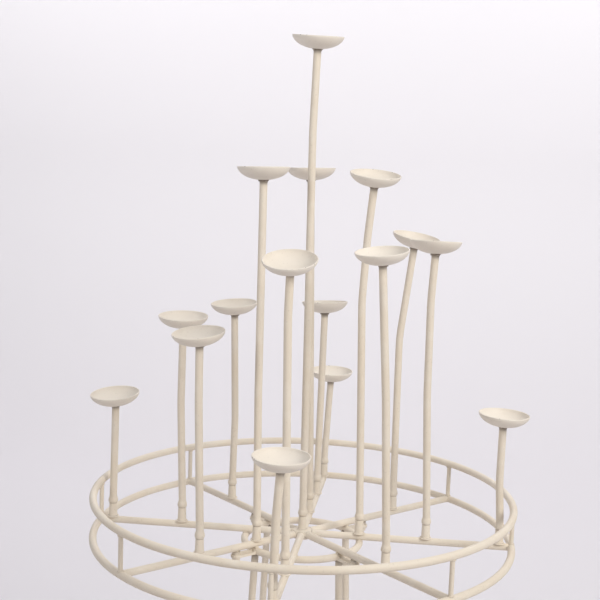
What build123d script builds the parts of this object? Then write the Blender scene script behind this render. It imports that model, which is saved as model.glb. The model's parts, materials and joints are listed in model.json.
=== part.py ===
from build123d import *
import math
import os

# Votive candle rack: a wheel-shaped deck of two rings and eight spokes on four legs, with
# sixteen candle rods that lift out of sockets on the spokes. Each rod carries a shallow dish.
# +Z is up, the origin is on the floor under the hub, and spoke_1 points along +X.
# All lengths are in millimetres and all angles in degrees.

# Deck
deck_height = 720.0  # the lower ring's centreline above the floor
ring_radius = 280.0  # both rings' centreline
ring_gap = 54.0  # between the two rings' centrelines
ring_rod = 10.0
post_rod = 6.0
spoke_rod = 9.5
spoke_angles = [0.0, 45.0, 89.2, 135.0, 180.0, 225.0, 269.3, 315.0]  # set and welded by eye
hub_radius = 13.0
hub_height = 11.0

# Sockets that the rods stand in
washer_radius = 8.0
washer_thickness = 1.5
washer_sink = 0.5  # filed into the round spoke, so that the washer sits flat
socket_foot_radius = 5.8
socket_mouth_radius = 5.3
socket_length = 18.0
bore_radius = 4.0
bore_depth = 15.0
stud_radius = 2.5
stud_length = 6.0
stud_clearance = 0.05
stud_hole_spare = 1.0  # left under the stud's end

# Candle rods
candle_rod = 10.0
spigot_clearance = 0.05  # between the spigot and the socket's bore, a running fit
spigot_length = 14.0
bead_radius = 6.5
bead_height = 9.5
bead_foot_radius = 4.9
rod_bend_radius = 200.0
flare_radius = 6.8
flare_height = 3.0
root_depth = 0.8  # how far the bead and the flare reach into the rod where they start

# Dishes, whose section is the lower part of an ellipse
dish_radius = 33.7  # where the ellipse is widest, just above the rim
dish_ellipse_drop = 18.5  # from there down to the ellipse's lowest point
dish_foot_radius = 7.0
dish_depth = 17.0
dish_wall = 1.6
dish_floor = 2.4
rim_rounding = 0.7

# Leg frame
leg_rod = 9.5
leg_ring_radius = 78.0
leg_splay = 3.0
leg_angles = [45.0, 135.0, 225.0, 315.0]
knee_height = 230.0
knee_bend_radius = 600.0
foot_radius = 240.0  # where a leg's axis meets its pad
pad_radius = 17.0
pad_thickness = 5.0
tie_height = 420.0
tie_rod = 7.0
ear_width = 14.0
ear_thickness = 3.0
bolt_reach = 109.0  # from the hub to a threaded stud
bolt_radius = 3.0
bolt_hole_radius = 3.3
bolt_depth = 6.0  # into the spoke
bolt_tail = 6.0  # below the lower nut
nut_across_flats = 10.0
nut_height = 4.5

# Each rod: spoke, distance from the hub, the points that its hand-bent axis passes above the
# bead as (height above the deck, offset along +X), and how far its dish leans to +X and to -Y.
hub_place = 0.0
inner_place = 77.0
middle_place = 166.5
outer_place = 263.5
candle_rods = [
    (1, hub_place, [(540, -4.0), (644, -1.5)], (2.0, 5.0)),
    (6, inner_place, [(200, -3.0), (476, -4.0)], (-1.5, -1.0)),
    (3, inner_place, [(474, -13.5)], (-1.5, -1.0)),
    (1, inner_place, [(320, -8.5), (405, -4.5), (471, 1.5)], (4.5, 8.5)),
    (7, middle_place, [(320, -6.0), (373, -5.0)], (-1.0, 16.0)),
    (8, middle_place, [(215, -8.0), (382, -19.0)], (-5.0, 6.0)),
    (2, middle_place, [(255, -1.0), (384, 14.0)], (9.5, 4.5)),
    (1, middle_place, [(200, -7.0), (325, -8.0), (387, -5.0)], (0.5, -4.5)),
    (5, middle_place, [(170, -4.5), (273, -3.5)], (0.5, 3.5)),
    (6, middle_place, [(200, -5.0), (272, -5.5)], (-5.0, 6.0)),
    (4, middle_place, [(125, 1.5), (277, -3.0)], (-3.5, 3.5)),
    (3, middle_place, [(278, 2.5)], (-2.5, -4.5)),
    (3, outer_place, [(157, 5.5)], (0.5, 2.0)),
    (5, outer_place, [(162, 2.0)], (-4.0, 5.5)),
    (7, outer_place, [(105, 1.0), (162, 4.5)], (1.0, 2.0)),
    (1, outer_place, [(90, -3.5), (164, -3.0)], (2.5, 0.0)),
]

# Worked out from the above
spoke_top = deck_height + spoke_rod / 2
washer_base = spoke_top - washer_sink
socket_base = washer_base + washer_thickness
socket_top = socket_base + socket_length
spoke_bottom = deck_height - spoke_rod / 2
leg_ring_height = spoke_bottom - leg_rod / 2
ear_base = spoke_bottom - nut_height - ear_thickness


def around(angle, radius=0.0, height=0.0):
    """The place at that angle round the hub, turned to face outwards."""
    return Rot(0, 0, angle) * Pos(radius, 0, height)


def ring(radius, rod, height):
    return Pos(0, 0, height) * Torus(radius, rod / 2)


def upright(radius, height, base=0.0):
    """A round bar along Z that starts at base."""
    return Pos(0, 0, base) * Cylinder(radius, height, align=(Align.CENTER, Align.CENTER, Align.MIN))


def bar_along(points, rod, bend_radius):
    """A round bar whose axis runs through the points, with each corner bent to the radius."""
    path = FilletPolyline(*points, radius=bend_radius) if len(points) > 2 else Line(*points)
    section = Plane(origin=path @ 0, z_dir=path % 0) * Circle(rod / 2)
    return sweep(section, path=path)


def save(name, *solids):
    shape = solids[0] if len(solids) == 1 else Compound(children=list(solids))
    export_step(shape, f"parts/{name}.step")


def socket_places():
    """Where each rod's socket stands: the spoke's angle and the distance from the hub."""
    return [(spoke_angles[spoke - 1], radius) for spoke, radius, _, _ in candle_rods]


# --- Deck ---------------------------------------------------------------------------------


def deck_rings():
    lower = ring(ring_radius, ring_rod, deck_height)
    upper = ring(ring_radius, ring_rod, deck_height + ring_gap)
    return lower, upper


def ring_posts(lower, upper):
    """Thin uprights between the rings, one at each spoke's end, with coped ends."""
    post = upright(post_rod / 2, ring_gap)
    return [
        around(angle, ring_radius, deck_height) * post - lower - upper for angle in spoke_angles
    ]


def hub():
    """A short turned boss that the eight spokes butt against, tapped for the middle socket."""
    boss = upright(hub_radius, hub_height, spoke_top - hub_height)
    boss = fillet(boss.edges().filter_by(GeomType.CIRCLE), 1.0)
    return boss - washer_seat() - stud_hole()


def washer_seat():
    return upright(washer_radius, washer_thickness, washer_base)


def stud_hole():
    depth = stud_length + stud_hole_spare
    return upright(stud_radius + stud_clearance, depth, washer_base - depth)


def spoke(number, lower):
    """A round bar from the hub to the lower ring, seated and tapped for its sockets."""
    angle = spoke_angles[number - 1]
    bar = Rot(0, 90, 0) * upright(spoke_rod / 2, ring_radius - post_rod / 2)
    bar = around(angle, 0, deck_height) * bar - lower
    bar -= upright(hub_radius, 2 * hub_height, deck_height - hub_height)
    for spoke_number, radius, _, _ in candle_rods:
        if spoke_number == number and radius > hub_place:
            bar -= around(angle, radius) * (washer_seat() + stud_hole())
    if angle in leg_angles:
        depth = bolt_depth + stud_hole_spare
        bolt_hole = upright(bolt_radius + stud_clearance, depth, spoke_bottom)
        bar -= around(angle, bolt_reach) * bolt_hole
    return bar


# --- Sockets ------------------------------------------------------------------------------


def socket():
    """A slightly tapered tube, bored for the rod's spigot, with a stud that screws into the spoke."""
    tube = Cone(socket_foot_radius, socket_mouth_radius, socket_length)
    tube = Pos(0, 0, socket_base + socket_length / 2) * tube
    tube = chamfer(tube.edges().group_by(Axis.Z)[-1], 0.4)
    stud = upright(stud_radius, washer_thickness + stud_length, washer_base - stud_length)
    return tube + stud - upright(bore_radius, bore_depth, socket_top - bore_depth)


def washer():
    """A flat ring under the socket, let into the top of the spoke."""
    return washer_seat() - upright(stud_radius + stud_clearance, washer_thickness, washer_base)


# --- Candle rods and dishes ---------------------------------------------------------------


def dish_plane(number):
    """The plane under a rod's dish: its origin is the rod's top and its normal the dish's axis."""
    spoke_number, radius, bends, (lean_x, lean_front) = candle_rods[number - 1]
    height, offset = bends[-1]
    foot = around(spoke_angles[spoke_number - 1], radius, deck_height).position
    top = foot + Vector(offset, 0, height)
    axis = Vector(math.tan(math.radians(lean_x)), -math.tan(math.radians(lean_front)), 1)
    return Plane(origin=top, z_dir=axis)


def bead():
    """The round stop that rests on the socket's mouth, with the spigot under it."""
    foot = (bead_foot_radius, 0)
    belly = (bead_radius, bead_height * 0.42)
    shoulder = (candle_rod / 2 + 0.2, bead_height)
    top = bead_height + root_depth
    neck = (candle_rod / 2 - root_depth, top)
    outline = [
        Line((0, 0), foot),
        ThreePointArc(foot, belly, shoulder),
        Line(shoulder, neck),
        Line(neck, (0, top)),
        Line((0, top), (0, 0)),
    ]
    stop = revolve(Plane.XZ * make_face(outline), Axis.Z)
    spigot_radius = bore_radius - spigot_clearance
    spigot = upright(spigot_radius, spigot_length + root_depth, -spigot_length)
    spigot = chamfer(spigot.edges().group_by(Axis.Z)[0], 0.6)
    return stop + spigot


def rod(number):
    """A hand-bent bar from its bead to a small flare welded under the dish."""
    spoke_number, radius, bends, _ = candle_rods[number - 1]
    foot = around(spoke_angles[spoke_number - 1], radius).position
    start, straight_end = socket_top + bead_height / 4, socket_top + bead_height
    axis_points = [foot + Vector(0, 0, start), foot + Vector(0, 0, straight_end)]
    axis_points += [foot + Vector(offset, 0, deck_height + height) for height, offset in bends]
    top = dish_plane(number)
    axis_points[-1] += (axis_points[-1] - axis_points[-2]).normalized() * flare_height
    bar = bar_along(axis_points, candle_rod, rod_bend_radius)
    flare = Cone(candle_rod / 2 - root_depth, flare_radius, flare_height)
    flare = top * Pos(0, 0, -flare_height / 2) * flare
    above = top * upright(2 * flare_radius, 3 * flare_height)
    return bar + Pos(foot) * Pos(0, 0, socket_top) * bead() + flare - above


def below_rim(radius, drop, base):
    """The part of half an ellipse that lies between base and the rim's height."""
    widest = dish_ellipse_drop * math.sqrt(1 - (dish_foot_radius / dish_radius) ** 2)
    height = dish_depth - base
    band = Pos(radius / 2, base + height / 2) * Rectangle(radius, height)
    return Pos(0, widest) * Ellipse(radius, drop) & band


def dish():
    """A spun bowl with a flat seat inside and a rounded rim. Its flat foot is at the origin."""
    outer = below_rim(dish_radius, dish_ellipse_drop, 0)
    inner = below_rim(dish_radius - dish_wall, dish_ellipse_drop - dish_wall, dish_floor)
    bowl = revolve(Plane.XZ * (outer - inner), Axis.Z)
    return fillet(bowl.edges().group_by(Axis.Z)[-1], rim_rounding)


# --- Leg frame ----------------------------------------------------------------------------


def leg_radius_at(height):
    """How far a leg's axis is from the hub's axis, above the knee."""
    return leg_ring_radius + (leg_ring_height - height) * math.tan(math.radians(leg_splay))


def leg(angle, leg_ring):
    """A round bar that splays a little down to the knee, then sweeps out to its pad."""
    axis_points = [
        Vector(leg_ring_radius, 0, leg_ring_height),
        Vector(leg_radius_at(knee_height), 0, knee_height),
        Vector(foot_radius, 0, 0),
    ]
    bar = bar_along(axis_points, leg_rod, knee_bend_radius)
    below_pad = Pos(foot_radius, 0, 0) * Box(60, 60, 2 * pad_thickness)
    return around(angle) * (bar - below_pad) - leg_ring


def foot_pad():
    disc = upright(pad_radius, pad_thickness)
    return fillet(disc.edges().group_by(Axis.Z)[-1], 1.5)


def tie_ring():
    """A ring that touches the inside of all four legs, where it is welded."""
    from_leg = (leg_rod + tie_rod) / 2 / math.cos(math.radians(leg_splay))
    return ring(leg_radius_at(tie_height) - from_leg, tie_rod, tie_height)


def ear(angle, leg_ring, leg):
    """A flat tab from the leg ring out to the threaded stud under a spoke, coped to the leg."""
    length = bolt_reach - leg_ring_radius
    middle = Pos(leg_ring_radius + length / 2, 0, ear_base + ear_thickness / 2)
    end = Pos(bolt_reach, 0, 0) * upright(ear_width / 2, ear_thickness, ear_base)
    hole = Pos(bolt_reach, 0, 0) * upright(bolt_hole_radius, ear_thickness, ear_base)
    tab = middle * Box(length, ear_width, ear_thickness) + end - hole
    return around(angle) * tab - leg_ring - leg


def nut(base):
    corner_radius = nut_across_flats / 2 / math.cos(math.radians(30))
    block = extrude(RegularPolygon(corner_radius, 6), nut_height)
    return Pos(0, 0, base) * block - upright(bolt_radius + stud_clearance, nut_height, base)


def ear_nuts():
    """One nut that sets the gap between the ear and the spoke, and one that clamps the ear."""
    return [nut(ear_base + ear_thickness), nut(ear_base - nut_height)]


def ear_stud():
    """A threaded stud from the spoke down through both nuts and the ear, with a tail to spare."""
    tail_end = ear_base - nut_height - bolt_tail
    stud = upright(bolt_radius, spoke_bottom + bolt_depth - tail_end, tail_end)
    return chamfer(stud.edges().group_by(Axis.Z)[0], 0.5)


# --- Assembly -----------------------------------------------------------------------------


def main():
    os.makedirs("parts", exist_ok=True)

    lower, upper = deck_rings()
    save("lower_ring", lower)
    save("upper_ring", upper)
    save("ring_posts", *ring_posts(lower, upper))
    save("hub", hub())
    for number in range(1, len(spoke_angles) + 1):
        save(f"spoke_{number}", spoke(number, lower))

    leg_ring = ring(leg_ring_radius, leg_rod, leg_ring_height)
    save("leg_ring", leg_ring)
    legs = [leg(angle, leg_ring) for angle in leg_angles]
    for number, bar in enumerate(legs, start=1):
        save(f"leg_{number}", bar)
    save("tie_ring", tie_ring())
    save("foot_pads", *[around(angle, foot_radius) * foot_pad() for angle in leg_angles])
    save("leg_ears", *[ear(angle, leg_ring, bar) for angle, bar in zip(leg_angles, legs)])
    bolt_places = [around(angle, bolt_reach) for angle in leg_angles]
    save("ear_studs", *[place * ear_stud() for place in bolt_places])
    save("ear_nuts", *[place * one for place in bolt_places for one in ear_nuts()])

    places = socket_places()
    save("rod_sockets", *[around(*place) * socket() for place in places])
    save("socket_washers", *[around(*place) * washer() for place in places])

    for number in range(1, len(candle_rods) + 1):
        save(f"candle_rod_{number:02d}", rod(number))
        save(f"candle_dish_{number:02d}", dish_plane(number) * dish())


if __name__ == "__main__":
    main()
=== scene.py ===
import json
import math

import bmesh
import bpy
from mathutils import Matrix, Vector, noise


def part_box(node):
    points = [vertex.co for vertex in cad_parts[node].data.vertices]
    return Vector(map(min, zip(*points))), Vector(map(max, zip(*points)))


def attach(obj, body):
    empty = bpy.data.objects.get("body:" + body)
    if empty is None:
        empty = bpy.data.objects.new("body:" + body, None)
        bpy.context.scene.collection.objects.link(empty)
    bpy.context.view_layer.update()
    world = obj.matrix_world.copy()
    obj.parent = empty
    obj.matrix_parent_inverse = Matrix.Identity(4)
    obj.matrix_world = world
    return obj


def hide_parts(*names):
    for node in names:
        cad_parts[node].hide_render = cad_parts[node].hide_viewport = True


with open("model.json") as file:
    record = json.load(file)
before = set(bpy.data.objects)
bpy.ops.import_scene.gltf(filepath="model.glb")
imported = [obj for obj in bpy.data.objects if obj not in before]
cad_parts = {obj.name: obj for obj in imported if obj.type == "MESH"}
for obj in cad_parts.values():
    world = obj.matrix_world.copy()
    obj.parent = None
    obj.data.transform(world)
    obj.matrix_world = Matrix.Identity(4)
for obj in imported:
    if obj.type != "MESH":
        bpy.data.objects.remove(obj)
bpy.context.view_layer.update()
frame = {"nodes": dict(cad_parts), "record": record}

# --- Camera -------------------------------------------------------------------------------
# A short telephoto at the height of the middle dishes, a step and a half from the hub. It
# stands a little to the right of the front spoke, looks slightly down, and is a touch tilted.

ring_low, ring_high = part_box("lower_ring")
deck_height = (ring_low.z + ring_high.z) / 2

eye_angle = math.radians(-84.0)
eye_distance = 1.501
eye_above_deck = 0.522
look_left = math.radians(0.51)
look_down = math.radians(7.73)
camera_tilt = math.radians(1.91)

camera = bpy.data.objects.new("camera", bpy.data.cameras.new("camera"))
bpy.context.scene.collection.objects.link(camera)
camera.data.lens = 68.8
camera.data.sensor_width = 36.0
camera.data.clip_end = 50.0
heading = eye_angle + math.radians(90.0) + look_left
aim = (
    Matrix.Rotation(heading, 4, "Z")
    @ Matrix.Rotation(math.radians(90.0) - look_down, 4, "X")
    @ Matrix.Rotation(camera_tilt, 4, "Z")
)
eye = (
    eye_distance * math.cos(eye_angle),
    eye_distance * math.sin(eye_angle),
    deck_height + eye_above_deck,
)
camera.matrix_world = Matrix.Translation(eye) @ aim
bpy.context.scene.camera = camera

# --- Deck rings ---------------------------------------------------------------------------
# Two hoops of 10 mm round steel bar, rolled, butt-welded where their ends meet and coated
# with thick matte cream paint. The spokes carry the lower one and the posts the upper one.

MM = 0.001
UP = Vector((0, 0, 1))
WELD_SEED = 7
noise.seed_set(WELD_SEED)


class Wire:
    """A shader socket that Python's sums work on: each sum adds its Math node."""

    def __init__(self, coat, socket):
        self.coat = coat
        self.socket = socket

    def maths(self, operation, first, second=0.0):
        return self.coat.node("ShaderNodeMath", {"operation": operation}, {0: first, 1: second})

    def __add__(self, other):
        return self.maths("ADD", self, other)

    def __radd__(self, other):
        return self.maths("ADD", other, self)

    def __sub__(self, other):
        return self.maths("SUBTRACT", self, other)

    def __rsub__(self, other):
        return self.maths("SUBTRACT", other, self)

    def __mul__(self, other):
        return self.maths("MULTIPLY", self, other)

    def __rmul__(self, other):
        return self.maths("MULTIPLY", other, self)


class Coat:
    """A material for one painted finish, and the nodes that are put in it."""

    def __init__(self, name):
        self.material = bpy.data.materials.new(name)
        self.material.use_nodes = True
        self.tree = self.material.node_tree
        self.shader = self.tree.nodes["Principled BSDF"]
        self.place = self.node("ShaderNodeTexCoord", output="Object")
        self.colour = None

    def plug(self, socket, value):
        if isinstance(value, Wire):
            self.tree.links.new(value.socket, socket)
        else:
            socket.default_value = value

    def node(self, kind, settings=None, sockets=None, output=0):
        made = self.tree.nodes.new(kind)
        for name, value in (settings or {}).items():
            setattr(made, name, value)
        for key, value in (sockets or {}).items():
            self.plug(made.inputs[key], value)
        return Wire(self, made.outputs[output])

    def noise(self, size, detail=2.0, place=None):
        """Noise whose lumps are about that many metres across."""
        sockets = {"Vector": place or self.place, "Scale": 1.0 / size, "Detail": detail}
        return self.node("ShaderNodeTexNoise", {}, sockets)

    def between(self, value, low, high):
        """0 where the value is under low, 1 over high, and a smooth step between."""
        sockets = {"Value": value, "From Min": low, "From Max": high}
        return self.node("ShaderNodeMapRange", {"interpolation_type": "SMOOTHSTEP"}, sockets)

    def blend(self, mask, under, over):
        """One colour over another where the mask is 1."""
        under = under if isinstance(under, Wire) else (*under, 1.0)
        over = over if isinstance(over, Wire) else (*over, 1.0)
        return self.node("ShaderNodeMix", {"data_type": "RGBA"}, {0: mask, 6: under, 7: over}, 2)


CREAM = (0.785, 0.71, 0.60)
AGED_CREAM = (0.735, 0.645, 0.515)
PALE_CREAM = (0.825, 0.77, 0.68)
DIRT_AND_SHADE_BROWN = (0.115, 0.085, 0.06)


def cream_coat(name, gloss=0.0, lumps=0.00025, tone=CREAM, aged_tone=AGED_CREAM):
    """Thick matte cream paint: a drifting tone, dust specks, orange peel, and darkening from the
    points: weld dirt and painted shade.
    """
    coat = Coat(name)
    drift = coat.between(coat.noise(0.11, 3.0), 0.35, 0.70)
    mottle = coat.noise(0.016, 4.0)
    peel = coat.noise(0.0016, 2.0)
    dust = coat.between(coat.noise(0.0028, 5.0), 0.60, 0.74)
    dirt_and_shade = coat.node("ShaderNodeAttribute", {"attribute_name": "dirt_and_shade"}, output="Fac")
    dirt_and_shade_mask = coat.between(dirt_and_shade + (mottle - 0.5) * 0.35, 0.10, 0.95)

    colour = coat.blend(drift * 0.55, tone, aged_tone)
    colour = coat.blend(coat.between(mottle, 0.45, 0.75) * 0.40, colour, PALE_CREAM)
    colour = coat.blend(dust * 0.11, colour, DIRT_AND_SHADE_BROWN)
    # Darkens by each point's value: weld dirt, and painted shade in seams, recesses and under parts.
    colour = coat.blend(dirt_and_shade_mask * 0.78, colour, DIRT_AND_SHADE_BROWN)
    coat.colour = colour
    coat.plug(coat.shader.inputs["Base Color"], colour)

    rough = 0.50 - gloss + mottle * 0.16 + dust * 0.08 + dirt_and_shade_mask * 0.12
    coat.plug(coat.shader.inputs["Roughness"], rough)
    height = mottle * 0.75 + peel * 0.25
    sockets = {"Strength": 0.55, "Distance": lumps, "Height": height}
    coat.plug(coat.shader.inputs["Normal"], coat.node("ShaderNodeBump", {}, sockets))
    coat.shader.inputs["Specular IOR Level"].default_value = 0.42
    return coat


def new_shape():
    """An empty mesh whose points carry their darkening, 0 for clean paint up to 1: weld dirt, and
    painted shade in seams and under parts.
    """
    shape = bmesh.new()
    shape.verts.layers.float.new("dirt_and_shade")
    return shape


def darken(shape, points, amount):
    dirt_and_shade = shape.verts.layers.float["dirt_and_shade"]
    for point in points:
        point[dirt_and_shade] = amount


def add_piece(shape, name, coat, stands_for, body="stand", crease=40.0):
    """Makes the finished mesh, hangs it on its body and lets it stand for its CAD nodes."""
    bmesh.ops.recalc_face_normals(shape, faces=shape.faces)
    mesh = bpy.data.meshes.new(name)
    shape.to_mesh(mesh)
    shape.free()
    mesh.polygons.foreach_set("use_smooth", [True] * len(mesh.polygons))
    mesh.set_sharp_from_angle(angle=math.radians(crease))
    mesh.materials.append(coat.material)
    piece = bpy.data.objects.new(name, mesh)
    bpy.context.scene.collection.objects.link(piece)
    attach(piece, body)
    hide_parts(*stands_for)
    return piece


def turned(shape, outline, sides=48, loop=False, place=Matrix()):
    """A form spun round the Z axis from its outline of (radius, height) points."""
    already = set(shape.verts)
    points = [shape.verts.new((radius, 0, height)) for radius, height in outline]
    followers = points[1:] + points[:1] if loop else points[1:]
    edges = [shape.edges.new(pair) for pair in zip(points, followers)]
    bmesh.ops.spin(
        shape,
        geom=points + edges,
        cent=(0, 0, 0),
        axis=(0, 0, 1),
        dvec=(0, 0, 0),
        angle=2 * math.pi,
        steps=sides,
        use_merge=True,
    )
    made = [point for point in shape.verts if point not in already]
    bmesh.ops.remove_doubles(shape, verts=made, dist=1e-6)
    made = [point for point in shape.verts if point not in already]
    bmesh.ops.transform(shape, matrix=place, verts=made)
    return made


def circle_outline(radius, bar, height=0.0, sides=20):
    """The section of a round bar that lies at that radius, as outline points."""
    steps = [2 * math.pi * step / sides for step in range(sides)]
    return [(radius + bar * math.cos(turn), height + bar * math.sin(turn)) for turn in steps]


def standing_at(place, direction=UP, scale=1.0):
    """The matrix that puts a form's origin at a place with its Z axis along a direction."""
    turn = UP.rotation_difference(direction).to_matrix().to_4x4()
    return Matrix.Translation(place) @ turn @ Matrix.Scale(scale, 4)


def roughen(points, amount, size):
    """Moves the points about a little, as hand-run weld is uneven."""
    for point in points:
        point.co += noise.noise_vector(point.co / size) * amount


WELD_DIRT = 0.3
JOINT_GAP = 0.2 * MM


def weld_ring(shape, place, direction, bar, size=1.6 * MM, darkness=WELD_DIRT):
    """A lumpy fillet of weld round a bar where it meets another."""
    outline = circle_outline(bar, size, sides=10)
    made = turned(shape, outline, sides=28, loop=True, place=standing_at(place, direction))
    roughen(made, 0.5 * MM, 3 * MM)
    darken(shape, made, darkness)


def weld_lump(shape, place, direction, size, darkness=WELD_DIRT):
    """A short run of weld, longer along the direction than it is wide."""
    length = 1.9 * size
    made = bmesh.ops.create_uvsphere(shape, u_segments=16, v_segments=10, radius=1.0)["verts"]
    form = standing_at(place, direction) @ Matrix.Diagonal((size, size, length, 1.0))
    bmesh.ops.transform(shape, matrix=form, verts=made)
    roughen(made, 0.35 * MM, 2.5 * MM)
    darken(shape, made, darkness)


def ring_size(node):
    """A ring's centreline radius, its bar's radius and its height, from its CAD node."""
    low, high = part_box(node)
    bar = (high.z - low.z) / 2
    return (high.x - low.x) / 2 - bar, bar, (high.z + low.z) / 2


deck_radius, ring_bar, lower_level = ring_size("lower_ring")
upper_level = ring_size("upper_ring")[2]
ring_coat = cream_coat("ring_paint")
butt_weld = 1.0 * MM
butt_weld_sunk = 0.9 * MM
butt_angles = {"lower_ring": math.radians(68.0), "upper_ring": math.radians(203.0)}

for node, butt_angle in butt_angles.items():
    radius, bar, level = ring_size(node)
    hoop = new_shape()
    turned(hoop, circle_outline(radius, bar, level, sides=24), sides=288, loop=True)
    butt = Vector((radius * math.cos(butt_angle), radius * math.sin(butt_angle), level))
    along = Vector((-math.sin(butt_angle), math.cos(butt_angle), 0))
    weld_ring(hoop, butt, along, bar - butt_weld_sunk, butt_weld)
    add_piece(hoop, f"{node}_hoop", ring_coat, [node])

# --- Ring posts ---------------------------------------------------------------------------
# Eight uprights of 6 mm bar, one at each spoke's end. They are cut square, hold the upper
# ring 54 mm above the lower one and are welded all round at both ends.


def sweep(shape, stations, sides=24):
    """A round bar through stations of (place, direction, radius), closed at both ends."""
    frames = [standing_at(place, way, radius) for place, way, radius in stations]
    start = bmesh.ops.create_circle(shape, segments=sides, radius=1.0, cap_ends=True)["verts"]
    bmesh.ops.transform(shape, matrix=frames[0], verts=start)
    made = list(start)
    ring = list(dict.fromkeys(edge for point in start for edge in point.link_edges))
    for before, after in zip(frames, frames[1:]):
        grown = bmesh.ops.extrude_edge_only(shape, edges=ring)["geom"]
        points = [part for part in grown if isinstance(part, bmesh.types.BMVert)]
        edges = [part for part in grown if isinstance(part, bmesh.types.BMEdge)]
        new_points = set(points)
        ring = [edge for edge in edges if new_points.issuperset(edge.verts)]
        bmesh.ops.transform(shape, matrix=after @ before.inverted(), verts=points)
        made += points
    bmesh.ops.contextual_create(shape, geom=ring)
    return made


def straight_bar(shape, start, end, bar):
    way = (end - start).normalized()
    return sweep(shape, [(start, way, bar), (end, way, bar)])


def spoke_direction(number):
    low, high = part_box(f"spoke_{number}")
    middle = (low + high) / 2
    return Vector((middle.x, middle.y, 0)).normalized()


SPOKES = range(1, 9)
spoke_ways = [spoke_direction(number) for number in SPOKES]
post_bar = 3.0 * MM
post_foot = lower_level + ring_bar
post_head = upper_level - ring_bar
post_weld = 1.3 * MM
post_sunk = 1.5 * MM

posts = new_shape()
for way in spoke_ways:
    foot = way * deck_radius
    lower_end = foot + UP * (post_foot - post_sunk)
    upper_end = foot + UP * (post_head + post_sunk)
    straight_bar(posts, lower_end, upper_end, post_bar)
    weld_ring(posts, foot + UP * (post_foot - JOINT_GAP), UP, post_bar, post_weld)
    weld_ring(posts, foot + UP * (post_head + JOINT_GAP), UP, post_bar, post_weld)
add_piece(posts, "ring_post_set", ring_coat, ["ring_posts"])

# --- Hub ----------------------------------------------------------------------------------
# A turned steel boss, 26 mm across, that the eight spokes butt against. Its edges are
# rounded and the weld between the spokes fills the corners.

spoke_coat = cream_coat("spoke_paint")
hub_low, hub_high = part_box("hub")
hub_radius = (hub_high.x - hub_low.x) / 2
edge = 1.0 * MM
corner_weld = 1.9 * MM

boss = new_shape()
hub_outline = [
    (0, hub_low.z),
    (hub_radius - edge, hub_low.z),
    (hub_radius - 0.3 * edge, hub_low.z + 0.3 * edge),
    (hub_radius, hub_low.z + edge),
    (hub_radius, hub_high.z - edge),
    (hub_radius - 0.3 * edge, hub_high.z - 0.3 * edge),
    (hub_radius - edge, hub_high.z),
    (0, hub_high.z),
]
turned(boss, hub_outline)
for way, next_way in zip(spoke_ways, spoke_ways[1:] + spoke_ways[:1]):
    corner = (way + next_way).normalized() * (hub_radius + 0.3 * MM)
    weld_lump(boss, corner + UP * lower_level, UP, corner_weld)
add_piece(boss, "hub_boss", spoke_coat, ["hub"])

# --- Spokes -------------------------------------------------------------------------------
# Eight lengths of 9.5 mm round bar, from the hub to the inside of the lower ring. Each is
# welded to the hub and to the ring, with the weld left as it ran and painted over.

spoke_low, spoke_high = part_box("spoke_1")
spoke_bar = (spoke_high.z - spoke_low.z) / 2
spoke_root = hub_radius - 2.0 * MM
spoke_tip = deck_radius - 2.5 * MM
side_weld_reach = deck_radius - ring_bar - JOINT_GAP
top_weld_reach = deck_radius - 0.62 * ring_bar
spoke_weld = 1.5 * MM
hub_weld = 1.2 * MM
level = UP * lower_level

for number, way in zip(SPOKES, spoke_ways):
    spoke = new_shape()
    straight_bar(spoke, way * spoke_root + level, way * spoke_tip + level, spoke_bar)
    across = way.cross(UP)
    for side in (1, -1):
        joint = way * side_weld_reach + level
        weld_lump(spoke, joint + across * side * (spoke_bar - 0.3 * MM), UP, spoke_weld)
    for side in (1, -1):
        joint = way * top_weld_reach + level
        weld_lump(spoke, joint + UP * side * (spoke_bar - 0.9 * MM), across, spoke_weld)
    weld_ring(spoke, way * (hub_radius + 0.3 * MM) + level, way, spoke_bar - 0.4 * MM, hub_weld)
    add_piece(spoke, f"spoke_{number}_bar", spoke_coat, [f"spoke_{number}"])

# --- Sockets and washers ------------------------------------------------------------------
# Sixteen short turned tubes, each screwed down through a flat washer into its spoke by a stud. The
# bore takes a rod's spigot. The mouth and bore are darkened as painted shade in the seam under the
# rod's bead, and the base as painted shade where it meets the washer.


def rod_foot(number):
    """The place on the floor plan where a rod stands, from the lowest end of its CAD node."""
    mesh = frame["nodes"][f"candle_rod_{number:02d}"].data
    lowest = min(vertex.co.z for vertex in mesh.vertices)
    end = [vertex.co for vertex in mesh.vertices if vertex.co.z < lowest + 0.1 * MM]
    across = [(min(p[axis] for p in end) + max(p[axis] for p in end)) / 2 for axis in (0, 1)]
    return Vector((*across, 0))


RODS = range(1, 17)
rod_feet = [rod_foot(number) for number in RODS]
socket_coat = cream_coat("socket_paint", gloss=0.06)
washer_low, washer_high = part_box("socket_washers")
socket_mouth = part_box("rod_sockets")[1].z
socket_base = washer_high.z
socket_foot = 5.8 * MM
socket_lip = 5.3 * MM
bore_radius = 4.0 * MM
bore_depth = 15.0 * MM
washer_radius = 8.0 * MM

socket_outline = [
    (0, socket_base),
    (socket_foot + 0.9 * MM, socket_base),
    (socket_foot + 0.5 * MM, socket_base + 0.4 * MM),
    (socket_foot + 0.15 * MM, socket_base + 1.2 * MM),
    (socket_foot, socket_base + 2.2 * MM),
    (socket_lip, socket_mouth - 0.5 * MM),
    (socket_lip - 0.15 * MM, socket_mouth - 0.15 * MM),
    (socket_lip - 0.5 * MM, socket_mouth),
    (bore_radius + 0.2 * MM, socket_mouth),
    (bore_radius, socket_mouth - 0.3 * MM),
    (bore_radius, socket_mouth - bore_depth),
    (0, socket_mouth - bore_depth),
]
washer_outline = [
    (0, washer_low.z),
    (washer_radius - 0.3 * MM, washer_low.z),
    (washer_radius, washer_low.z + 0.3 * MM),
    (washer_radius, washer_high.z - 0.4 * MM),
    (washer_radius - 0.4 * MM, washer_high.z),
    (0, washer_high.z),
]

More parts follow.
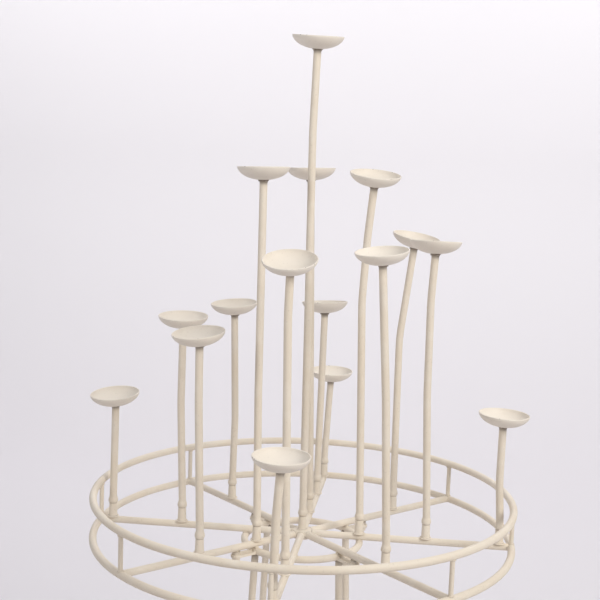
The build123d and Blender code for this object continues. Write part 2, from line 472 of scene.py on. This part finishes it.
sockets = new_shape()
washers = new_shape()
dirt_and_shade = sockets.verts.layers.float["dirt_and_shade"]
mouth_shade = 0.5
bore_shade = 1.0
base_shade = 0.45
# Painted shade: the mouth, the bore and the base are darkened, for the seam under the bead and the
# joint with the washer.
for foot in rod_feet:
    for point in turned(sockets, socket_outline, 32, place=Matrix.Translation(foot)):
        at_mouth = point.co.z > socket_mouth - 0.2 * MM
        in_bore = (point.co - foot).xy.length < bore_radius + 0.1 * MM
        at_base = point.co.z < socket_base + 0.6 * MM
        point[dirt_and_shade] = max(mouth_shade * at_mouth, bore_shade * in_bore, base_shade * at_base)
    turned(washers, washer_outline, 32, place=Matrix.Translation(foot))
add_piece(sockets, "rod_socket_set", socket_coat, ["rod_sockets"])
add_piece(washers, "socket_washer_set", socket_coat, ["socket_washers"])

# --- Candle rods --------------------------------------------------------------------------
# Sixteen lengths of 10 mm bar, bent a little by hand. Each has a round stop bead that rests
# on its socket, a spigot below that, and a collar of weld under its dish. The profiles are in
# millimetres: the bead's height and radius, and the collar's height and growth.

rod_coat = cream_coat("rod_paint", gloss=0.06)
rod_bar = 5.0 * MM
spigot_radius = 3.95 * MM
spigot_length = 14.0 * MM
spigot_chamfer = 0.6 * MM
bead_roughness = 0.35 * MM
bead_profile = [
    (0.0, 4.8),
    (0.35, 5.3),
    (1.2, 6.0),
    (2.4, 6.4),
    (3.8, 6.5),
    (5.2, 6.4),
    (6.6, 6.05),
    (8.0, 5.55),
    (9.0, 5.2),
    (10.2, 5.0),
]
collar_profile = [
    (-6.5, 0.0),
    (-3.6, 0.0),
    (-2.4, 0.3),
    (-1.2, 1.0),
    (-0.2, 1.7),
    (0.5, 1.8),
]
collar_weld = 1.0 * MM
collar_dirt_and_shade = 9.0 * MM
spigot_shade = 0.6
axis_step = 12.0 * MM
seats = {mount["name"]: mount for mount in frame["record"]["mounts"]}
dish_floor = 2.4 * MM


def dish_place(number):
    """The foot of a dish and the way its axis leans, from the seat inside it."""
    seat = seats[f"candle_seat_{number:02d}"]
    axis = Vector(seat["axis"]).normalized()
    return Vector(seat["pos_m"]) - axis * dish_floor, axis


def bar_centre(node, height):
    """The middle of a bent bar's section at a height, from a cut through its CAD node."""
    cut = bmesh.new()
    cut.from_mesh(frame["nodes"][node].data)
    everything = cut.verts[:] + cut.edges[:] + cut.faces[:]
    found = bmesh.ops.bisect_plane(cut, geom=everything, plane_co=(0, 0, height), plane_no=UP)
    edge = [part.co.copy() for part in found["geom_cut"] if isinstance(part, bmesh.types.BMVert)]
    cut.free()
    across = [(min(p[axis] for p in edge) + max(p[axis] for p in edge)) / 2 for axis in (0, 1)]
    return Vector((*across, height))


def bar_stations(centres, bar):
    """Sweep stations through the centres, each square to the run of the bar there."""
    ways = [(after - before).normalized() for before, after in zip(centres, centres[1:])]
    turns = [ways[0]] + [(a + b).normalized() for a, b in zip(ways, ways[1:])] + [ways[-1]]
    return [(centre, turn, bar) for centre, turn in zip(centres, turns)]


def rod_stations(node, foot, top):
    """Stations up a whole rod: spigot, bead, bent bar and the flare under its dish."""
    mouth = foot + UP * socket_mouth
    stations = [
        (mouth - UP * spigot_length, UP, spigot_radius - spigot_chamfer),
        (mouth - UP * (spigot_length - spigot_chamfer), UP, spigot_radius),
        (mouth - UP * 0.05 * MM, UP, spigot_radius),
    ]
    stations += [(mouth + UP * height * MM, UP, radius * MM) for height, radius in bead_profile]
    first_level = socket_mouth + (bead_profile[-1][0] + 4.0) * MM
    last_level = top.z - 10.0 * MM
    steps = max(2, round((last_level - first_level) / axis_step))
    levels = [first_level + (last_level - first_level) * step / steps for step in range(steps + 1)]
    stations += bar_stations([bar_centre(node, level) for level in levels], rod_bar)
    way = (top - stations[-1][0]).normalized()
    flare = [(top + way * height * MM, way, rod_bar + grown * MM) for height, grown in collar_profile]
    return stations + flare


for number, foot in zip(RODS, rod_feet):
    node = f"candle_rod_{number:02d}"
    top = dish_place(number)[0]
    stations = rod_stations(node, foot, top)
    way = stations[-1][1]
    rod = new_shape()
    dirt_and_shade = rod.verts.layers.float["dirt_and_shade"]
    bar_points = sweep(rod, stations, sides=32)
    belly = [p for p in bar_points if 1.0 * MM < p.co.z - socket_mouth < 9.0 * MM]
    roughen(belly, bead_roughness, 4.0 * MM)
    # Each rod darkens over its top 9 mm towards its dish: weld dirt, and painted shadow of the dish.
    # The spigot and the bead's foot are darkened as painted shade in the seam at the socket's mouth.
    for point in bar_points:
        below_top = (top - point.co).dot(way)
        below_mouth = point.co.z < socket_mouth + 0.4 * MM
        point[dirt_and_shade] = max(0.0, 1.0 - below_top / collar_dirt_and_shade, spigot_shade * below_mouth)
    # The weld lumps under the dish are darkened too: weld dirt, and painted shadow of the dish.
    for run in range(3):
        turn = 1.7 * number + 2.1 * run
        out = Vector((math.cos(turn), math.sin(turn), 0))
        collar = top + out * (rod_bar + 0.9 * MM) - way * 1.1 * MM
        weld_lump(rod, collar, out.cross(way), collar_weld, darkness=0.6)
    add_piece(rod, f"{node}_bar", rod_coat, [node], f"candle_holder_{number:02d}")

# --- Dishes -------------------------------------------------------------------------------
# Sixteen shallow bowls, 67 mm across, spun from thin sheet with a flat seat for the candle
# and a lightly rolled rim. Each is welded on by eye, so it leans its own way.

# The dishes take a paler, less yellow copy of the cream paint: painted light, for cool light from
# overhead on their insides.
LIT_DISH_CREAM = (0.81, 0.755, 0.675)
LIT_AGED_DISH_CREAM = (0.765, 0.69, 0.59)
BARE_STEEL = (0.15, 0.135, 0.12)
dish_coat = cream_coat(
    "dish_paint", gloss=0.06, lumps=0.0002, tone=LIT_DISH_CREAM, aged_tone=LIT_AGED_DISH_CREAM
)
on_rim = dish_coat.node("ShaderNodeAttribute", {"attribute_name": "rim"}, output="Fac")
chips = dish_coat.between(on_rim * dish_coat.noise(0.005, 4.0), 0.66, 0.69)
chipped = dish_coat.blend(chips * 0.8, dish_coat.colour, BARE_STEEL)
dish_coat.plug(dish_coat.shader.inputs["Base Color"], chipped)
bowl_radius = 33.7 * MM
bowl_drop = 18.5 * MM
foot_radius = 7.0 * MM
dish_depth = 17.0 * MM
sheet = 1.6 * MM
widest = bowl_drop * math.sqrt(1 - (foot_radius / bowl_radius) ** 2)
rim_sag = 0.15 * MM
ripples_per_metre = 40
foot_dirt_and_shade = 0.8
foot_dirt_and_shade_reach = 4.0 * MM


def bowl_curve(inset, start_height, end_height, steps=18):
    """Points up the bowl's elliptical wall between two heights, as (radius, height)."""
    radius, drop = bowl_radius - inset, bowl_drop - inset
    start, end = [math.acos((widest - height) / drop) for height in (start_height, end_height)]
    turns = [start + (end - start) * step / steps for step in range(steps + 1)]
    return [(radius * math.sin(turn), widest - drop * math.cos(turn)) for turn in turns]


rim_start = dish_depth - sheet / 2
outside = bowl_curve(0, 0, rim_start)
inside = bowl_curve(sheet, dish_floor, rim_start)
rim_middle = (outside[-1][0] + inside[-1][0]) / 2
rim_turns = [math.radians(18 * step) for step in range(1, 10)]
rim = [
    (rim_middle + sheet / 2 * math.cos(turn), rim_start + sheet / 2 * math.sin(turn))
    for turn in rim_turns
]
dish_outline = [(0, 0)] + outside + rim + inside[::-1] + [(0, dish_floor)]

for number in RODS:
    foot, axis = dish_place(number)
    dish = new_shape()
    dirt_and_shade = dish.verts.layers.float["dirt_and_shade"]
    rim_wear = dish.verts.layers.float.new("rim")
    for point in turned(dish, dish_outline, sides=96):
        from_axis = point.co.xy.length
        underside = point.co.z < dish_floor / 2
        near_foot = max(0.0, 1.0 - (from_axis - foot_radius) / foot_dirt_and_shade_reach)
        ripple = noise.noise(point.co * ripples_per_metre + Vector((number, 0, 0)))
        sag = (1 + ripple) * from_axis / bowl_radius
        # The underside darkens within 4 mm of the foot: weld dirt, and painted shade where the dish
        # meets its rod.
        point[dirt_and_shade] = foot_dirt_and_shade * min(1.0, near_foot) * underside
        point[rim_wear] = 1.0 if point.co.z > rim_start + 0.2 * MM else 0.0
        point.co.z -= rim_sag * sag
    bmesh.ops.transform(dish, matrix=standing_at(foot, axis), verts=dish.verts)
    node = f"candle_dish_{number:02d}"
    add_piece(dish, f"{node}_bowl", dish_coat, [node], f"candle_holder_{number:02d}")

# --- Leg ring and ears --------------------------------------------------------------------
# A small hoop of 9.5 mm bar under the spokes, with four flat ears that reach out from it. A
# stud through each ear's pressed eye holds the deck to the legs.

leg_coat = cream_coat("leg_paint")
leg_ring_radius, leg_bar, leg_ring_level = ring_size("leg_ring")
ear_low, ear_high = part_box("leg_ears")
ear_half_width = 7.0 * MM
ear_reach = math.hypot(ear_high.x - ear_half_width, ear_high.y - ear_half_width)
ear_root = leg_ring_radius + 3.5 * MM
ear_lip = 1.0 * MM
ear_weld = 1.5 * MM
eye_darkening = 0.55
crossing_weld = 1.6 * MM
leg_ways = [spoke_ways[number - 1] for number in (2, 4, 6, 8)]

leg_ring = new_shape()
turned(leg_ring, circle_outline(leg_ring_radius, leg_bar, leg_ring_level, 24), 128, loop=True)
for way in spoke_ways:
    crossing = way * leg_ring_radius + UP * (leg_ring_level + leg_bar)
    for side in (1, -1):
        weld_lump(leg_ring, crossing + way.cross(UP) * side * 3.2 * MM, way, crossing_weld)
add_piece(leg_ring, "leg_ring_hoop", leg_coat, ["leg_ring"])

ears = new_shape()
dirt_and_shade = ears.verts.layers.float["dirt_and_shade"]
lip_outline = circle_outline(ear_half_width - ear_lip, ear_lip, ear_high.z - 0.2 * MM, 10)
for way in leg_ways:
    across = way.cross(UP) * ear_half_width
    eye = way * ear_reach
    plate = []
    for level in (ear_low.z, ear_high.z):
        end = bmesh.ops.create_circle(ears, segments=32, radius=ear_half_width)["verts"]
        bmesh.ops.translate(ears, vec=eye + UP * level, verts=end)
        root = way * ear_root + UP * level
        plate += end + [ears.verts.new(root + across), ears.verts.new(root - across)]
    bmesh.ops.convex_hull(ears, input=plate)
    turned(ears, lip_outline, 32, loop=True, place=Matrix.Translation(eye))
    seam = way * (leg_ring_radius + leg_bar + 0.3 * MM)
    for level in (ear_low.z, ear_high.z):
        for side in (0.55, -0.55):
            weld_lump(ears, seam + across * side + UP * level, across, ear_weld)
# The ear is darker round its stud, under the nuts.
for point in ears.verts:
    from_eye = min((point.co.xy - way.xy * ear_reach).length for way in leg_ways)
    if from_eye < ear_half_width - 1.4 * ear_lip:
        point[dirt_and_shade] = eye_darkening
add_piece(ears, "leg_ear_set", leg_coat, ["leg_ears"])

# --- Studs and nuts -----------------------------------------------------------------------
# A 6 mm threaded stud hangs from each of four spokes. One nut on it sets the ear's distance from the
# spoke and one clamps the ear. They were painted too. The nuts are a little darker all over, and the
# upper nut's top half is darker still: painted shadow in the gap under the spoke.

bolt_coat = cream_coat("bolt_paint", gloss=0.10)
nut_across_flats = 10.0 * MM
nut_corner = nut_across_flats / 2 / math.cos(math.radians(30.0))
nut_height = 4.5 * MM
stud_bar = 3.0 * MM
thread_pitch = 1.0 * MM
thread_depth = 0.4 * MM
stud_low, stud_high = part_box("ear_studs")

studs = new_shape()
nuts = new_shape()
dirt_and_shade = nuts.verts.layers.float["dirt_and_shade"]
stud_length = stud_high.z - stud_low.z
half_turns = 2 * round((ear_low.z - stud_low.z) / thread_pitch)
thread = [
    (stud_bar - thread_depth * (half_turn % 2), half_turn * thread_pitch / 2)
    for half_turn in range(half_turns)
]
stud_outline = [(0, 0)] + thread + [(stud_bar, stud_length), (0, stud_length)]
for way in leg_ways:
    eye = way * ear_reach
    turned(studs, stud_outline, 24, place=Matrix.Translation(eye + UP * stud_low.z))
    for base in (ear_high.z, ear_low.z - nut_height):
        nut = bmesh.ops.create_cone(
            nuts,
            cap_ends=True,
            segments=6,
            radius1=nut_corner,
            radius2=nut_corner,
            depth=nut_height,
        )["verts"]
        bmesh.ops.translate(nuts, vec=eye + UP * (base + nut_height / 2), verts=nut)
bmesh.ops.bevel(
    nuts, geom=nuts.edges[:], offset=0.5 * MM, affect="EDGES", segments=2, profile=0.5, material=-1
)
# The nuts are a little darker all over. The upper nut's top half is darker still: painted shadow under
# the spoke.
for point in nuts.verts:
    point[dirt_and_shade] = 0.15 + 0.4 * (point.co.z > ear_high.z + 0.5 * nut_height)
add_piece(studs, "ear_stud_set", bolt_coat, ["ear_studs"])
add_piece(nuts, "ear_nut_set", bolt_coat, ["ear_nuts"])

# --- Legs, tie ring and feet --------------------------------------------------------------
# Four legs of 9.5 mm bar, welded under the leg ring, that splay a little and then sweep out
# to flat pads. A thin ring welded inside them, part of the way down, keeps them apart.

pad_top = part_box("foot_pads")[1].z
leg_step = 16.0 * MM
leg_weld = 1.6 * MM
crown_shade = 0.8
crown_shade_reach = 8.0 * MM

for number, way in enumerate(leg_ways, start=1):
    node = f"leg_{number}"
    lowest, highest = pad_top + 5.0 * MM, leg_ring_level - leg_bar - 3.0 * MM
    steps = round((highest - lowest) / leg_step)
    levels = [lowest + (highest - lowest) * step / steps for step in range(steps + 1)]
    centres = [bar_centre(node, level) for level in levels]
    sole = centres[0] + (centres[0] - centres[1]) * (6.0 * MM / (centres[1].z - centres[0].z))
    crown = way * leg_ring_radius + UP * leg_ring_level
    leg = new_shape()
    dirt_and_shade = leg.verts.layers.float["dirt_and_shade"]
    sweep(leg, bar_stations([sole] + centres + [crown], leg_bar))
    # Painted shadow: each leg and its weld there are darkened for 8 mm below the leg ring, where the
    # leg meets the ring's underside.
    for point in leg.verts:
        below_ring = crown.z - leg_bar - point.co.z
        point[dirt_and_shade] = max(0.0, 1.0 - below_ring / crown_shade_reach) * crown_shade
    joint = crown - UP * (leg_bar + JOINT_GAP)
    weld_ring(leg, joint, UP, leg_bar - 0.2 * MM, leg_weld, darkness=0.7)
    weld_ring(leg, Vector((*sole.xy, pad_top)), UP, leg_bar + 0.5 * MM, leg_weld)
    add_piece(leg, f"{node}_bar", leg_coat, [node])

tie_radius, tie_bar, tie_level = ring_size("tie_ring")
tie_weld = 1.5 * MM
tie = new_shape()
turned(tie, circle_outline(tie_radius, tie_bar, tie_level, 20), 128, loop=True)
for way in leg_ways:
    for side in (1, -1):
        joint = way * (tie_radius + tie_bar) + UP * tie_level
        weld_lump(tie, joint + way.cross(UP) * side * 2.5 * MM, UP, tie_weld)
add_piece(tie, "tie_ring_hoop", leg_coat, ["tie_ring"])

pad_radius = 17.0 * MM
pad_reach = math.hypot(*[size - pad_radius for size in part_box("foot_pads")[1].xy])
pad_outline = [
    (0, 0),
    (pad_radius - 0.8 * MM, 0),
    (pad_radius, 0.8 * MM),
    (pad_radius, pad_top - 1.5 * MM),
    (pad_radius - 0.4 * MM, pad_top - 0.5 * MM),
    (pad_radius - 1.5 * MM, pad_top),
    (0, pad_top),
]
pads = new_shape()
for way in leg_ways:
    turned(pads, pad_outline, 64, place=Matrix.Translation(way * pad_reach))
add_piece(pads, "foot_pad_set", leg_coat, ["foot_pads"])

# --- Studio -------------------------------------------------------------------------------
# A pale sheet of paper that is the floor and curves up into the backdrop. It is darker towards the
# floor: painted shade, for light from above falling off. A large soft light is high on the right, with
# one overhead, a weak warm one low in front and a cool one level with the top dishes. Two more light
# the backdrop's left and right.

backdrop = bmesh.new()
paper_width = 16.0
paper_front = -3.4
paper_top = 5.0
sweep_radius = 1.2
sweep_start = 2.6
sweep_turns = [math.radians(90 * step / 24) for step in range(1, 25)]
profile = [(paper_front, 0.0), (sweep_start, 0.0)]
profile += [
    (sweep_start + sweep_radius * math.sin(turn), sweep_radius * (1 - math.cos(turn)))
    for turn in sweep_turns
]
profile += [(sweep_start + sweep_radius, paper_top)]
edge_points = [backdrop.verts.new((-paper_width / 2, y, z)) for y, z in profile]
edge_lines = [backdrop.edges.new(pair) for pair in zip(edge_points, edge_points[1:])]
grown = bmesh.ops.extrude_edge_only(backdrop, edges=edge_lines)["geom"]
far_side = [part for part in grown if isinstance(part, bmesh.types.BMVert)]
bmesh.ops.translate(backdrop, vec=(paper_width, 0, 0), verts=far_side)
backdrop_mesh = bpy.data.meshes.new("backdrop")
backdrop.to_mesh(backdrop_mesh)
backdrop.free()
backdrop_mesh.polygons.foreach_set("use_smooth", [True] * len(backdrop_mesh.polygons))

FLOOR_GREY = (0.715, 0.695, 0.715)
TOP_GREY = (0.91, 0.895, 0.91)
shade_low = -0.4
shade_high = 1.4
paper = Coat("backdrop_paper")
paper_height = paper.node("ShaderNodeSeparateXYZ", {}, {"Vector": paper.place}, "Z")
paper_fibre = paper.noise(0.004, 3.0)
# Painted shade: the paper goes from a darker grey at the floor to a lighter one higher up, for light
# from above falling off.
paper_shade = paper.between(paper_height + (paper_fibre - 0.5) * 0.05, shade_low, shade_high)
paper_colour = paper.blend(paper_shade, FLOOR_GREY, TOP_GREY)
paper.plug(paper.shader.inputs["Base Color"], paper_colour)
paper.plug(paper.shader.inputs["Roughness"], 0.85 + paper_fibre * 0.1)
backdrop_mesh.materials.append(paper.material)
backdrop_sheet = bpy.data.objects.new("backdrop", backdrop_mesh)
bpy.context.scene.collection.objects.link(backdrop_sheet)


WARM_WHITE = (1.0, 0.97, 0.92)
COOL_WHITE = (0.95, 0.97, 1.0)
PALE_BLUE_WHITE = (0.97, 0.98, 1.0)
LAMP_ORANGE = (1.0, 0.80, 0.60)
LILAC_WHITE = (0.985, 0.975, 1.0)


def soft_light(name, place, target, size, power, colour):
    """A square soft box, with its side in metres and its power in watts."""
    lamp = bpy.data.lights.new(name, "AREA")
    lamp.shape = "SQUARE"
    lamp.size = size
    lamp.energy = power
    lamp.color = colour
    holder = bpy.data.objects.new(name, lamp)
    holder.location = place
    holder.rotation_euler = (Vector(target) - Vector(place)).to_track_quat("-Z", "Y").to_euler()
    bpy.context.scene.collection.objects.link(holder)


chest = (0, 0, deck_height + 0.2)
soft_light("key_light", (1.8, -1.4, 2.35), chest, 1.1, 45.5, WARM_WHITE)
soft_light("top_light", (-0.2, 0.2, 3.4), chest, 1.6, 8.5, COOL_WHITE)
soft_light("low_fill_light", (-0.8, -2.4, 0.5), chest, 1.4, 4.5, LAMP_ORANGE)
soft_light("high_fill_light", (-0.9, -0.9, 1.7), (0.1, 0.1, 1.7), 0.7, 4.6, PALE_BLUE_WHITE)
for side, name in ((-1.7, "left_backdrop_light"), (1.7, "right_backdrop_light")):
    soft_light(name, (side, 1.9, 4.0), (side, 3.8, 2.2), 1.6, 58.0, LILAC_WHITE)

room_glow = 0.325
seen_glow = 0.80
world = bpy.data.worlds.new("studio")
world.use_nodes = True
room = world.node_tree.nodes["Background"]
room.inputs["Color"].default_value = (0.97, 0.96, 1.0, 1.0)
seen = world.node_tree.nodes.new("ShaderNodeLightPath").outputs["Is Camera Ray"]
glow = world.node_tree.nodes.new("ShaderNodeMath")
glow.operation = "MULTIPLY_ADD"
glow.inputs[1].default_value = seen_glow - room_glow
glow.inputs[2].default_value = room_glow
world.node_tree.links.new(seen, glow.inputs[0])
world.node_tree.links.new(glow.outputs[0], room.inputs["Strength"])
bpy.context.scene.world = world
bpy.context.scene.view_settings.view_transform = "Standard"
